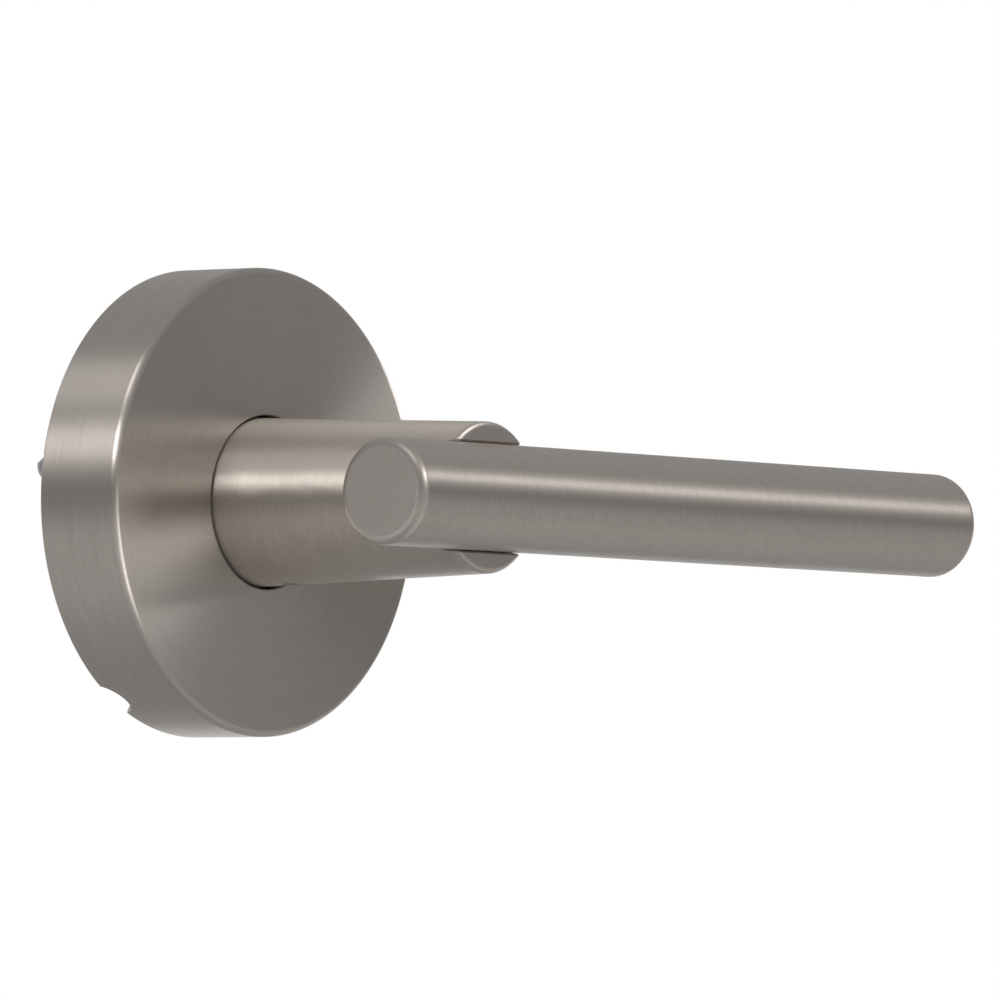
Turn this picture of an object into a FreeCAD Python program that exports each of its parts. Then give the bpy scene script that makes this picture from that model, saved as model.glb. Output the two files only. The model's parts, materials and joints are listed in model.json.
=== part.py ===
import FreeCAD, Part
import math
import os
import re

import Sketcher

# A reversible passage lever on a round rose, as one half of a door set.
#
# Frame: the origin is the centre of the rose's back plane, on the turning axis.  The door's face
# is the plane y = 0, the lever stands out along -Y, the bar points along +X and +Z is up.
# Every turned piece has its own frame: z runs outwards from the door, and z = 0 is its rear face.
# A "level" is a distance out from the door's face, so a negative level lies inside the door.

SIZES = {
    # rose cover: a drawn cup with a prying notch in its rear edge
    "rose_radius": 33.0,
    "rose_height": 13.7,
    "cover_wall": 1.2,
    "cover_edge_round": 1.0,
    "cover_rear_round": 0.3,
    "cover_bore_round": 0.3,
    "cover_bore": 12.25,
    "notch_radius": 3.7,
    "notch_depth": 2.6,
    "notch_angle": 239.0,
    # mounting plate: a casting that carries the bearing, the stops and the fixing holes
    "plate_gap": 0.5,
    "plate_thickness": 3.0,
    "rim_height": 6.6,
    "rim_width": 2.8,
    "hub_radius": 11.5,
    "hub_reach": 3.5,
    "fixing_spacing": 38.0,
    "fixing_hole": 2.75,
    "ring_relief_inner": 24.2,
    "ring_relief_outer": 26.8,
    "web_relief_inner": 13.4,
    "web_relief_outer": 22.6,
    "relief_depth": 1.2,
    "fixing_boss": 4.8,
    "cage_screw_boss": 3.0,
    "stop_pin_boss": 3.2,
    "rib_width": 2.0,
    "hub_chamfer": 0.5,
    "pry_recess_radius": 5.0,
    "pry_recess_bite": 1.8,
    "nib_radius": 2.0,
    "nib_height": 3.3,
    "nib_circle": 29.2,
    "nib_angle": 172.0,
    "nib_round": 1.7,
    # snap ring that holds the cover on the plate
    "snap_wire": 0.6,
    "snap_level": 5.0,
    "snap_bite": 0.2,
    "snap_slack": 0.1,
    "snap_gap_angle": 30.0,
    # spring cage
    "cage_height": 7.8,
    "cage_sheet": 1.0,
    "cage_radius": 14.0,
    "window_angle": 144.0,
    "ear_circle": 17.5,
    "ear_width": 7.0,
    "ear_angle": 50.0,
    "foot_inner": 17.6,
    "foot_width": 6.0,
    "foot_screw_circle": 21.6,
    # small cheese-head screws that hold the cage
    "cage_screw_radius": 1.45,
    "cage_screw_length": 3.4,
    "cage_head_radius": 2.6,
    "cage_head_height": 1.8,
    "cage_key_across": 2.0,
    "cage_key_depth": 1.0,
    # cam and its stops
    "cam_gap": 0.2,
    "cam_sheet": 1.5,
    "cam_radius": 12.0,
    "cam_arm_reach": 17.2,
    "cam_arm_width": 6.0,
    "lug_inner": 14.5,
    "lug_outer": 16.5,
    "lug_height": 4.6,
    "cam_seat": 8.4,
    "cam_flats": 14.8,
    "stop_pin_radius": 1.5,
    "stop_pin_circle": 16.0,
    "stop_pin_height": 2.2,
    "stop_pin_seat": 2.4,
    "stop_gap": 0.1,
    "turn_each_way": 50.0,
    # return spring
    "spring_wire": 0.7,
    "spring_radius": 11.2,
    "spring_pitch": 1.6,
    "spring_gap": 0.2,
    "spring_leg_slack": 0.15,
    "spring_leg_reach": 19.2,
    # journals and bushings
    "front_journal": 9.2,
    "rear_journal": 7.3,
    "bush_wall": 0.8,
    "rear_bush_wall": 1.9,
    "front_flange_radius": 12.0,
    "front_flange": 0.6,
    "front_bush_tail": 0.8,
    "rear_flange_radius": 11.0,
    "rear_flange": 1.0,
    "rear_bush_inset": 0.4,
    "disc_spring_radius": 11.9,
    "disc_spring_height": 0.5,
    "disc_spring_sheet": 0.25,
    # rear thrust washer, retaining ring and shank end
    "thrust_radius": 10.4,
    "thrust_sheet": 0.5,
    "end_play": 0.1,
    "clip_sheet": 1.0,
    "clip_groove": 0.5,
    "clip_width": 2.1,
    "clip_gap_angle": 36.0,
    "clip_lug": 1.5,
    "clip_lug_hole": 0.7,
    "shank_tail": 1.4,
    # neck and saddle
    "neck_root": 11.85,
    "neck_tip": 10.55,
    "neck_height": 53.8,
    "neck_tip_round": 0.8,
    "saddle_chamfer": 0.3,
    # lever bar
    "bar_radius": 7.45,
    "bar_sink": 0.1,
    "bar_short": 23.7,
    "bar_long": 103.7,
    "bar_wall": 1.5,
    "cap_head": 3.0,
    "cap_spigot": 8.0,
    "cap_round": 1.3,
    "slug_length": 22.0,
    "slug_floor": 1.6,
    # bar screw and lock washer
    "screw_radius": 2.45,
    "screw_hole": 2.7,
    "screw_length": 16.5,
    "screw_head_radius": 3.85,
    "screw_head_height": 5.0,
    "screw_key_across": 4.0,
    "screw_key_depth": 2.5,
    "screw_web": 5.0,
    "lock_washer_sheet": 1.0,
    "lock_washer_split": 12.0,
    # square spindle and its grub screw
    "spindle_side": 8.0,
    "spindle_reach": 20.0,
    "spindle_grip": 23.5,
    "spindle_chamfer": 0.8,
    "socket_spare": 0.5,
    "grub_radius": 1.95,
    "grub_length": 5.4,
    "grub_level": 19.0,
    "grub_key_across": 2.0,
    "grub_key_depth": 1.8,
    # clearances
    "running_gap": 0.05,
    "seat_gap": 0.03,
    "saddle_gap": 0.1,
    "thread_gap": 0.05,
}

TOUCH = 1e-4  # how near two lengths lie to count as the same, in millimetres

# Levels and radii that follow from the sizes, as expressions of the sheet's names.
PLATE_RADIUS = "(rose_radius - cover_wall - plate_gap)"
CAM_REAR = "(plate_thickness + cam_gap)"
CAM_FRONT = f"({CAM_REAR} + cam_sheet)"
CAGE_FRONT = "(plate_thickness + cage_height)"
SHOULDER = f"({CAGE_FRONT} + front_flange + disc_spring_height)"
THRUST_FRONT = "(hub_reach + rear_flange + end_play)"  # counted into the door
CLIP_FRONT = f"({THRUST_FRONT} + thrust_sheet + end_play / 2)"
SHANK_REACH = f"({CLIP_FRONT} + clip_sheet + end_play / 2 + shank_tail)"
SOCKET_SIDE = "(spindle_side + 2 * thread_gap)"
BAR_LEVEL = "(neck_height - bar_sink)"
SADDLE_RADIUS = "(bar_radius + saddle_gap)"
SCREW_SEAT = f"({BAR_LEVEL} - {SADDLE_RADIUS} - screw_web)"
BAR_BORE = "(bar_radius - bar_wall)"
CLIP_SEAT = "(rear_journal - clip_groove)"

document = FreeCAD.newDocument("lever_handle")
sheet = document.addObject("Spreadsheet::Sheet", "Sizes")
pieces = []


def fill_sheet():
    """Put every driving size in the sheet as a plain number with its own alias."""
    for row, (alias, size) in enumerate(SIZES.items(), 1):
        sheet.set(f"A{row}", alias)
        sheet.set(f"B{row}", str(size))
        sheet.setAlias(f"B{row}", alias)
    document.recompute()


def sized(text):
    """The expression with each sheet name written as Sizes.name."""
    return re.sub(r"[a-z][a-z_]*", lambda word: named(word.group()), text)


def named(word):
    return f"Sizes.{word}" if word in SIZES else word


def value(text):
    """The expression's present value."""
    return float(sheet.evalExpression(text))


# ---- sketches ------------------------------------------------------------------------------


def new_sketch(body, name, role):
    """An empty sketch on one of the body's own origin planes."""
    sketch = body.newObject("Sketcher::SketchObject", name)
    plane = next(item for item in body.Origin.OriginFeatures if item.Role == role)
    sketch.AttachmentSupport = [(plane, "")]
    sketch.MapMode = "FlatFace"
    return sketch


def pin_point(sketch, edge, end, across, up):
    """Fix one point of an edge at a place given by two expressions."""
    for kind, text in (("DistanceX", across), ("DistanceY", up)):
        place = Sketcher.Constraint(kind, -1, 1, edge, end, value(text))
        number = sketch.addConstraint(place)
        sketch.setExpression(f"Constraints[{number}]", sized(text))


def draw_outline(sketch, corners):
    """A closed outline through corners, each a pair of expressions."""
    points = [FreeCAD.Vector(value(across), value(up), 0) for across, up in corners]
    first = sketch.GeometryCount
    for start, end in zip(points, points[1:] + points[:1]):
        sketch.addGeometry(Part.LineSegment(start, end), False)
    count = len(corners)
    for index, (across, up) in enumerate(corners):
        following = first + (index + 1) % count
        sketch.addConstraint(Sketcher.Constraint("Coincident", first + index, 2, following, 1))
        pin_point(sketch, first + index, 1, across, up)


def draw_circle(sketch, across, up, radius):
    """A circle whose centre and radius are expressions."""
    centre = FreeCAD.Vector(value(across), value(up), 0)
    ring = sketch.addGeometry(Part.Circle(centre, FreeCAD.Vector(0, 0, 1), value(radius)), False)
    pin_point(sketch, ring, 3, across, up)
    number = sketch.addConstraint(Sketcher.Constraint("Radius", ring, value(radius)))
    sketch.setExpression(f"Constraints[{number}]", sized(radius))


def draw_polygon(sketch, sides, across_flats, turned_by=0):
    """A regular polygon about the sketch's origin, by its width across flats."""
    corner = f"{across_flats} / 2 / cos(180 / {sides})"
    angles = [360 / sides * (index + 0.5) + turned_by for index in range(sides)]
    draw_outline(sketch, [(f"{corner} * cos({a})", f"{corner} * sin({a})") for a in angles])


# ---- features ------------------------------------------------------------------------------


def turned(label, corners, sweep="360"):
    """A body turned from an outline of (radius, height) corners."""
    body = document.addObject("PartDesign::Body", label)
    sketch = new_sketch(body, label + "_profile", "XZ_Plane")
    draw_outline(sketch, corners)
    return revolved(body, sketch, label, sweep)


def revolved(body, sketch, label, sweep):
    """Turn the sketch about the body's own z axis."""
    feature = body.newObject("PartDesign::Revolution", label + "_turning")
    feature.Profile = sketch
    feature.ReferenceAxis = (sketch, ["V_Axis"])
    feature.setExpression("Angle", sized(sweep))
    document.recompute()
    return body


def ring(label, inner, outer, thickness, sweep="360"):
    """A flat ring, or part of one."""
    return turned(label, [(inner, "0"), (outer, "0"), (outer, thickness), (inner, thickness)], sweep)


def stepped_ring(label, bore, first, first_height, second, full_height):
    """A turned ring with one bore and two outer steps, each step a radius and the height it ends at."""
    corners = [(bore, "0"), (first, "0"), (first, first_height), (second, first_height)]
    return turned(label, corners + [(second, full_height), (bore, full_height)])


def stepped_pin(label, first, first_height, second, full_height):
    """A turned pin with two steps."""
    return stepped_ring(label, "0", first, first_height, second, full_height)


def cut(body, name, role, draw, depth=None, forward=True):
    """Pocket what draw puts in a sketch on an origin plane: to a depth, or both ways through."""
    sketch = new_sketch(body, name + "_sketch", role)
    draw(sketch)
    before = body.Shape.Volume
    feature = body.newObject("PartDesign::Pocket", name)
    feature.Profile = sketch
    feature.Reversed = forward
    if depth is None:
        feature.Type = "ThroughAll"
        feature.Midplane = True
    else:
        feature.setExpression("Length", sized(depth))
    document.recompute()
    if body.Shape.Volume > before - TOUCH:
        raise ValueError(f"{name} takes nothing from {body.Label}")


def added(body, name, draw, start, length, forward=True):
    """Pad what draw puts in a sketch across the body's axis, from the height start."""
    sketch = new_sketch(body, name + "_sketch", "XY_Plane")
    sketch.setExpression("AttachmentOffset.Base.z", sized(start))
    draw(sketch)
    feature = body.newObject("PartDesign::Pad", name)
    feature.Profile = sketch
    feature.Reversed = not forward
    feature.setExpression("Length", sized(length))
    document.recompute()


def rims(shape, radius, height):
    """Names of the circular edges of one radius at one height in the body's own frame."""
    names = []
    for number, edge in enumerate(shape.Edges, 1):
        curve = edge.Curve
        if not isinstance(curve, Part.Circle) or abs(curve.Radius - value(radius)) > TOUCH:
            continue
        if abs(edge.BoundBox.ZMin - value(height)) < TOUCH and edge.BoundBox.ZLength < TOUCH:
            names.append(f"Edge{number}")
    return names


def straight_edges(shape, height):
    """Names of the straight edges that lie at one height in the body's own frame."""
    names = []
    for number, edge in enumerate(shape.Edges, 1):
        flat = edge.BoundBox.ZLength < TOUCH and abs(edge.BoundBox.ZMin - value(height)) < TOUCH
        if flat and isinstance(edge.Curve, (Part.Line, Part.LineSegment)):
            names.append(f"Edge{number}")
    return names


def dress(body, kind, name, names, size):
    """A Fillet or Chamfer on the named edges of the body's last feature."""
    base = body.Tip
    feature = body.newObject("PartDesign::" + kind, name)
    feature.Base = (base, names)
    feature.setExpression("Radius" if kind == "Fillet" else "Size", sized(size))
    document.recompute()


# ---- primitives and booleans -----------------------------------------------------------------


def primitive(kind, name, at=("0", "0", "0"), **sizes):
    """A Part primitive with its sizes and its place as expressions."""
    item = document.addObject("Part::" + kind, name)
    for size, text in sizes.items():
        item.setExpression(size, sized(text))
    for direction, text in zip("xyz", at):
        item.setExpression(f"Placement.Base.{direction}", sized(text))
    return item


def block(name, width, near, far, low, high):
    """A box centred on x, from y = near to y = far and from z = low to z = high."""
    place = (f"-({width}) / 2", near, low)
    sides = dict(Length=width, Width=f"{far} - ({near})", Height=f"{high} - ({low})")
    return primitive("Box", name, place, **sides)


def joined(name, items):
    fused = document.addObject("Part::MultiFuse", name)
    fused.Shapes = items
    return fused


def minus(name, base, tools):
    """base less all of tools."""
    result = document.addObject("Part::Cut", name)
    result.Base = base
    result.Tool = joined(name + "_tools", tools) if len(tools) > 1 else tools[0]
    return result


def grouped(label, items):
    """Separate solids kept in one node."""
    group = document.addObject("Part::Compound", label)
    group.Links = items
    return group


def spun(item, angle):
    """Turn an item about its own z axis by an expression in degrees."""
    item.Placement = FreeCAD.Placement(item.Placement.Base, FreeCAD.Rotation(FreeCAD.Vector(0, 0, 1), 0))
    item.setExpression("Placement.Rotation.Angle", sized(angle))
    return item


# ---- placing ---------------------------------------------------------------------------------


def seat(piece, level, roll="0"):
    """Stand a piece's own z axis out from the door, with its rear face at a level."""
    turn = f"rotation(vector(1; 0; 0); 90) * rotation(vector(0; 0; 1); {sized(roll)})"
    piece.setExpression("Placement", f"placement(vector(0; -({sized(level)}); 0); {turn})")
    pieces.append(piece)


def seat_on_bar(piece, start, towards=1):
    """Lay a piece's own z axis along the bar, with its z = 0 end at x = start."""
    turn = f"rotation(vector(0; 1; 0); {90 * towards})"
    base = f"vector({sized(start)}; -{sized(BAR_LEVEL)}; 0)"
    piece.setExpression("Placement", f"placement({base}; {turn})")
    pieces.append(piece)


# ---- rose ------------------------------------------------------------------------------------


def rose_cover():
    inner = "(rose_radius - cover_wall)"
    groove = f"({inner} + snap_bite + snap_slack)"
    ceiling = "(rose_height - cover_wall)"
    high, low = (f"(snap_level {sign} (snap_wire + snap_slack))" for sign in "+-")
    corners = [
        (inner, "0"), ("rose_radius", "0"), ("rose_radius", "rose_height"),
        ("cover_bore", "rose_height"), ("cover_bore", ceiling), (inner, ceiling),
        (inner, high), (groove, high), (groove, low), (inner, low),
    ]
    body = turned("rose_cover", corners)
    cut(body, "pry_notch", "XZ_Plane", draw_notch, "rose_radius + cover_wall")
    rounds = (
        ("front_round", "rose_radius", "rose_height", "cover_edge_round"),
        ("bore_round", "cover_bore", "rose_height", "cover_bore_round"),
        ("rear_round", "rose_radius", "0", "cover_rear_round"),
    )
    for name, radius, height, size in rounds:
        dress(body, "Fillet", name, rims(body.Tip.Shape, radius, height), size)
    seat(body, "0", "notch_angle - 270")


def draw_notch(sketch):
    draw_circle(sketch, "0", "notch_depth - notch_radius", "notch_radius")


def mounting_plate():
    floor = "hub_reach"
    front = "(hub_reach + plate_thickness)"
    rim = "(hub_reach + rim_height)"
    well = f"({PLATE_RADIUS} - rim_width)"
    groove = f"({PLATE_RADIUS} + plate_gap + snap_bite - 2 * (snap_wire + snap_slack))"
    high, low = (f"(hub_reach + snap_level {sign} (snap_wire + snap_slack))" for sign in "+-")
    bore = "(rear_journal + rear_bush_wall + 2 * seat_gap)"
    relief = f"({floor} + relief_depth)"
    corners = [
        (bore, "0"), ("hub_radius", "0"), ("hub_radius", floor),
        ("web_relief_inner", floor), ("web_relief_inner", relief),
        ("web_relief_outer", relief), ("web_relief_outer", floor),
        ("ring_relief_inner", floor), ("ring_relief_inner", relief),
        ("ring_relief_outer", relief), ("ring_relief_outer", floor),
        (PLATE_RADIUS, floor), (PLATE_RADIUS, low), (groove, low), (groove, high), (PLATE_RADIUS, high),
        (PLATE_RADIUS, rim), (well, rim), (well, front), (bore, front),
    ]
    body = turned("mounting_plate", corners)
    for name, draw in (("bosses", draw_bosses), ("pin_bosses", draw_pin_bosses), ("ribs", draw_ribs)):
        added(body, name, draw, relief, "relief_depth", forward=False)
    dress(body, "Chamfer", "hub_edge", rims(body.Tip.Shape, "hub_radius", "0"), "hub_chamfer")
    cut(body, "fixing_holes", "XY_Plane", draw_fixing_holes, front)
    cut(body, "cage_screw_holes", "XY_Plane", draw_cage_screw_holes, front)
    cut(body, "pry_recess", "XY_Plane", draw_pry_recess, f"{floor} + notch_depth")
    cut_pin_seats(body, front)
    added(body, "nibs", draw_nibs, floor, "nib_height", forward=False)
    tips = rims(body.Tip.Shape, "nib_radius", f"{floor} - nib_height")
    dress(body, "Fillet", "nib_tips", tips, "nib_round")
    seat(body, "-hub_reach")


def draw_bosses(sketch):
    """Round bosses that carry the fixing holes and the cage's screws through the relief."""
    for side in ("-", ""):
        draw_circle(sketch, f"{side}fixing_spacing / 2", "0", "fixing_boss")
    for across, up in cage_screw_places():
        draw_circle(sketch, across, up, "cage_screw_boss")


def draw_pin_bosses(sketch):
    """Solid ground behind the stop pins, run into the hub and the fixing bosses."""
    for across, up in stop_pin_places():
        draw_circle(sketch, across, up, "stop_pin_boss")


def draw_ribs(sketch):
    """Upright ribs across the relief above and below the hub, run into the walls at both ends."""
    half = "rib_width / 2"
    near = "(web_relief_inner - rib_width / 2)"
    far = "(web_relief_outer + rib_width / 2)"
    for start, end in ((near, far), (f"-{far}", f"-{near}")):
        draw_outline(sketch, [(f"-{half}", start), (half, start), (half, end), (f"-{half}", end)])


def draw_fixing_holes(sketch):
    for side in ("-", ""):
        draw_circle(sketch, f"{side}fixing_spacing / 2", "0", "fixing_hole")


def cage_screw_places():
    """Where the cage's three screws stand, as pairs of expressions."""
    across, up = "ear_circle * cos(ear_angle)", "ear_circle * sin(ear_angle)"
    return [(across, up), (f"-{across}", up), ("0", "-foot_screw_circle")]


def draw_cage_screw_holes(sketch):
    for across, up in cage_screw_places():
        draw_circle(sketch, across, up, "cage_screw_radius + thread_gap")


def draw_pry_recess(sketch):
    reach = f"({PLATE_RADIUS} + pry_recess_radius - pry_recess_bite)"
    across, up = f"{reach} * cos(notch_angle)", f"{reach} * sin(notch_angle)"
    draw_circle(sketch, across, up, "pry_recess_radius")


def draw_nibs(sketch):
    for third in (0, 120, 240):
        angle = f"(nib_angle + {third})"
        draw_circle(sketch, f"nib_circle * cos({angle})", f"nib_circle * sin({angle})", "nib_radius")


def stop_pin_places():
    """Each pin stands where the cam's arm meets it at the end of its turn, short of it by the stop gap."""
    lean = "asin((cam_arm_width / 2 + stop_pin_radius + stop_gap) / stop_pin_circle)"
    angle = f"(turn_each_way * 1 deg + {lean})"
    across, up = f"stop_pin_circle * sin({angle})", f"-stop_pin_circle * cos({angle})"
    return [(f"-{across}", up), (across, up)]


def cut_pin_seats(body, front):
    """Blind seats for the stop pins, sunk from the plate's front face."""
    sketch = new_sketch(body, "pin_seats_sketch", "XY_Plane")
    sketch.setExpression("AttachmentOffset.Base.z", sized(front))
    for across, up in stop_pin_places():
        draw_circle(sketch, across, up, "stop_pin_radius + seat_gap")
    feature = body.newObject("PartDesign::Pocket", "pin_seats")
    feature.Profile = sketch
    feature.setExpression("Length", sized("stop_pin_seat"))
    document.recompute()


def stop_pins():
    length = "stop_pin_seat + stop_pin_height"
    pins = [
        primitive("Cylinder", "stop_pin", (across, up, "0"), Radius="stop_pin_radius", Height=length)
        for across, up in stop_pin_places()
    ]
    seat(grouped("stop_pins", pins), "plate_thickness - stop_pin_seat")


def snap_ring():
    """An open wire ring, half in the plate's groove and biting into the cover's."""
    body = document.addObject("PartDesign::Body", "snap_ring")
    sketch = new_sketch(body, "snap_wire_section", "XZ_Plane")
    draw_circle(sketch, "rose_radius - cover_wall + snap_bite - snap_wire", "0", "snap_wire")
    revolved(body, sketch, "snap_ring", "360 - snap_gap_angle")
    seat(body, "snap_level", "notch_angle + snap_gap_angle / 2")


def spring_cage():
    """A pressed cup over the return spring, with a window for the cam's arm, two ears and a foot."""
    lid = "(cage_height - cage_sheet)"
    cup = primitive("Cylinder", "cage_cup", Radius="cage_radius", Height="cage_height")
    inside = primitive("Cylinder", "cage_inside", Radius="cage_radius - cage_sheet", Height=lid)
    seat_hole = "front_journal + bush_wall + 2 * seat_gap"
    hole = primitive("Cylinder", "bush_hole", Radius=seat_hole, Height="cage_height")
    window = primitive("Cylinder", "cage_window", Radius="ear_circle", Height=lid, Angle="window_angle")
    shell = minus("cage_shell", cup, [inside, hole, spun(window, "270 - window_angle / 2")])
    outer = "-(foot_inner + cage_sheet)"
    bridge = block("cage_bridge", "foot_width", outer, "-(cage_radius - cage_sheet)", lid, "cage_height")
    foot = block("cage_foot", "foot_width", outer, "-foot_inner", "0", "cage_height")
    tip = "-(foot_screw_circle + foot_width / 2)"
    toe = block("cage_toe", "foot_width", tip, "-foot_inner", "0", "cage_sheet")
    ears = [cage_ear("right_ear", "ear_angle"), cage_ear("left_ear", "180 - ear_angle")]
    whole = joined("cage_whole", [shell, bridge, foot, toe] + ears)
    sizes = dict(Radius="cage_screw_radius + thread_gap", Height="cage_sheet")
    holes = [primitive("Cylinder", "cage_hole", (*place, "0"), **sizes) for place in cage_screw_places()]
    seat(minus("spring_cage", whole, holes), "plate_thickness")


def cage_ear(name, angle):
    """A flat tab from the cup's wall to a round end about its screw."""
    start = "(cage_radius - cage_sheet / 2)"
    sides = dict(Length=f"ear_circle - {start}", Width="ear_width", Height="cage_sheet")
    strap = primitive("Box", name + "_strap", (start, "-ear_width / 2", "0"), **sides)
    round_end = dict(Radius="ear_width / 2", Height="cage_sheet")
    end = primitive("Cylinder", name + "_end", ("ear_circle", "0", "0"), **round_end)
    return spun(joined(name, [strap, end]), angle)


def cage_screws():
    screws = [cage_screw(across, up) for across, up in cage_screw_places()]
    seat(grouped("cage_screws", screws), "plate_thickness + cage_sheet - cage_screw_length")


def cage_screw(across, up):
    """A cheese-head screw with a square drive."""
    shank_sizes = dict(Radius="cage_screw_radius", Height="cage_screw_length")
    shank = primitive("Cylinder", "screw_shank", (across, up, "0"), **shank_sizes)
    head_sizes = dict(Radius="cage_head_radius", Height="cage_head_height")
    head = primitive("Cylinder", "screw_head", (across, up, "cage_screw_length"), **head_sizes)
    half = "cage_key_across / 2"
    floor = "cage_screw_length + cage_head_height - cage_key_depth"
    sides = dict(Length="cage_key_across", Width="cage_key_across", Height="cage_key_depth")
    key = primitive("Box", "screw_key", (f"{across} - {half}", f"{up} - {half}", floor), **sides)
    return minus("cage_screw", joined("screw_blank", [shank, head]), [key])


def bushings():
    front_bore = "front_journal + running_gap"
    front_body = "front_journal + bush_wall + seat_gap"
    tail = "(cage_sheet + front_bush_tail)"
    height = f"{tail} + front_flange"
    front = stepped_ring("front_bushing", front_bore, front_body, tail, "front_flange_radius", height)
    seat(front, f"{CAGE_FRONT} - {tail}")
    rear_bore = "rear_journal + running_gap"
    rear_body = "rear_journal + rear_bush_wall + seat_gap"
    height = "rear_flange + hub_reach + plate_thickness - rear_bush_inset"
    rear = stepped_ring("rear_bushing", rear_bore, "rear_flange_radius", "rear_flange", rear_body, height)
    seat(rear, "-(hub_reach + rear_flange)")


def return_spring():
    """A torsion spring of nearly two coils, whose legs stand either side of the cage's foot."""
    wire = value("spring_wire")
    radius = value("spring_radius")
    offset = value("cam_arm_width / 2 + spring_leg_slack + spring_wire")
    bend = math.degrees(math.acos(offset / radius))
    turn = 540 + 2 * bend
    height = value("spring_pitch") * turn / 360
    low = value("cam_sheet + spring_gap + spring_wire")
    helix = Part.makeHelix(value("spring_pitch"), height, radius)
    section = Part.Wire(Part.makeCircle(wire, FreeCAD.Vector(radius, 0, 0), FreeCAD.Vector(0, 1, 0)))
    coil = Part.Wire(helix.Edges).makePipeShell([section], True, True)
    coil.rotate(FreeCAD.Vector(0, 0, 0), FreeCAD.Vector(0, 0, 1), -bend)
    coil.translate(FreeCAD.Vector(0, 0, low))
    knee_depth = math.sqrt(radius**2 - offset**2)
    solids = []
    for side, level in ((1, low), (-1, low + height)):
        knee = FreeCAD.Vector(side * offset, -knee_depth, level)
        solids.append(Part.makeSphere(wire, knee))
        reach = value("spring_leg_reach") - knee_depth
        solids.append(Part.makeCylinder(wire, reach, knee, FreeCAD.Vector(0, -1, 0)))
    spring = document.addObject("Part::Feature", "return_spring")
    spring.Shape = coil.fuse(solids).removeSplitter()
    seat(spring, CAM_REAR)


# ---- lever -----------------------------------------------------------------------------------


def lever_neck():
    def height(level):
        return f"({SHANK_REACH} + {level})"

    clip_low = f"({SHANK_REACH} - {CLIP_FRONT} - clip_sheet - end_play / 2)"
    clip_high = f"({SHANK_REACH} - {CLIP_FRONT} + end_play / 2)"
    tip = height("neck_height")
    corners = [
        ("0", "0"), ("rear_journal", "0"),
        ("rear_journal", clip_low), (CLIP_SEAT, clip_low),
        (CLIP_SEAT, clip_high), ("rear_journal", clip_high),
        ("rear_journal", height(CAM_REAR)), ("cam_seat", height(CAM_REAR)),
        ("cam_seat", height(CAM_FRONT)), ("front_journal", height(CAM_FRONT)),
        ("front_journal", height(SHOULDER)), ("neck_root", height(SHOULDER)),
        ("neck_root", height("rose_height")), ("neck_tip", tip), ("0", tip),
    ]
    body = turned("lever_neck", corners)
    cut_cam_flats(body, height(CAM_REAR))
    socket = height("spindle_grip + socket_spare")
    cut(body, "square_socket", "XY_Plane", lambda s: draw_polygon(s, 4, SOCKET_SIDE), socket)
    head_bore = "screw_head_radius + saddle_gap"
    cut(body, "head_bore", "XY_Plane", lambda s: draw_circle(s, "0", "0", head_bore), height(SCREW_SEAT))
    cut(body, "screw_bore", "XY_Plane", lambda s: draw_circle(s, "0", "0", "screw_hole"), height(BAR_LEVEL))
    cut(body, "saddle", "YZ_Plane", lambda s: draw_circle(s, "0", height(BAR_LEVEL), SADDLE_RADIUS))
    grub = "grub_radius + thread_gap"
    grub_at = height("grub_level")
    cut(body, "grub_hole", "XZ_Plane", lambda s: draw_circle(s, "0", grub_at, grub), "neck_root")
    dress(body, "Fillet", "tip_round", rims(body.Tip.Shape, "neck_tip", tip), "neck_tip_round")
    dress(body, "Chamfer", "saddle_edges", straight_edges(body.Tip.Shape, tip), "saddle_chamfer")
    seat(body, f"-{SHANK_REACH}")


def cut_cam_flats(body, low):
    """Two flats across the cam's seat, which key the cam to the neck."""
    sketch = new_sketch(body, "cam_flats_sketch", "XY_Plane")
    sketch.setExpression("AttachmentOffset.Base.z", sized(low))
    reach = "front_journal"
    for side in ("-", ""):
        inner, outer = f"{side}cam_flats / 2", f"{side}{reach}"
        draw_outline(sketch, [(inner, f"-{reach}"), (outer, f"-{reach}"), (outer, reach), (inner, reach)])
    feature = body.newObject("PartDesign::Pocket", "cam_key_flats")
    feature.Profile = sketch
    feature.Reversed = True
    feature.setExpression("Length", sized("cam_sheet"))
    document.recompute()


def cam_plate():
    """A stamped cam keyed on the neck: an arm that meets the stops and a lug that drives the spring."""
    disc = primitive("Cylinder", "cam_disc", Radius="cam_radius", Height="cam_sheet")
    arm = block("cam_arm", "cam_arm_width", "-cam_arm_reach", "-cam_seat - cam_sheet", "0", "cam_sheet")
    lug = block("cam_lug", "cam_arm_width", "-lug_outer", "-lug_inner", "0", "cam_sheet + lug_height")
    blank = joined("cam_blank", [disc, arm, lug])
    hole = primitive("Cylinder", "cam_hole", Radius="cam_seat + seat_gap", Height="cam_sheet")
    reach = "(cam_seat + cam_sheet)"
    key = block("cam_key", "cam_flats + 2 * seat_gap", f"-{reach}", reach, "0", "cam_sheet")
    bore = document.addObject("Part::Common", "cam_bore")
    bore.Base = hole
    bore.Tool = key
    seat(minus("cam_plate", blank, [bore]), CAM_REAR)


def disc_spring():
    """A slightly coned washer that takes up the end play under the neck's shoulder."""
    bore = "(front_journal + saddle_gap)"
    rise = "(disc_spring_height - disc_spring_sheet - seat_gap)"
    top = f"({rise} + disc_spring_sheet)"
    outer = "disc_spring_radius"
    body = turned("disc_spring", [(bore, rise), (outer, "0"), (outer, "disc_spring_sheet"), (bore, top)])
    seat(body, f"{CAGE_FRONT} + front_flange + seat_gap / 2")


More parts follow.
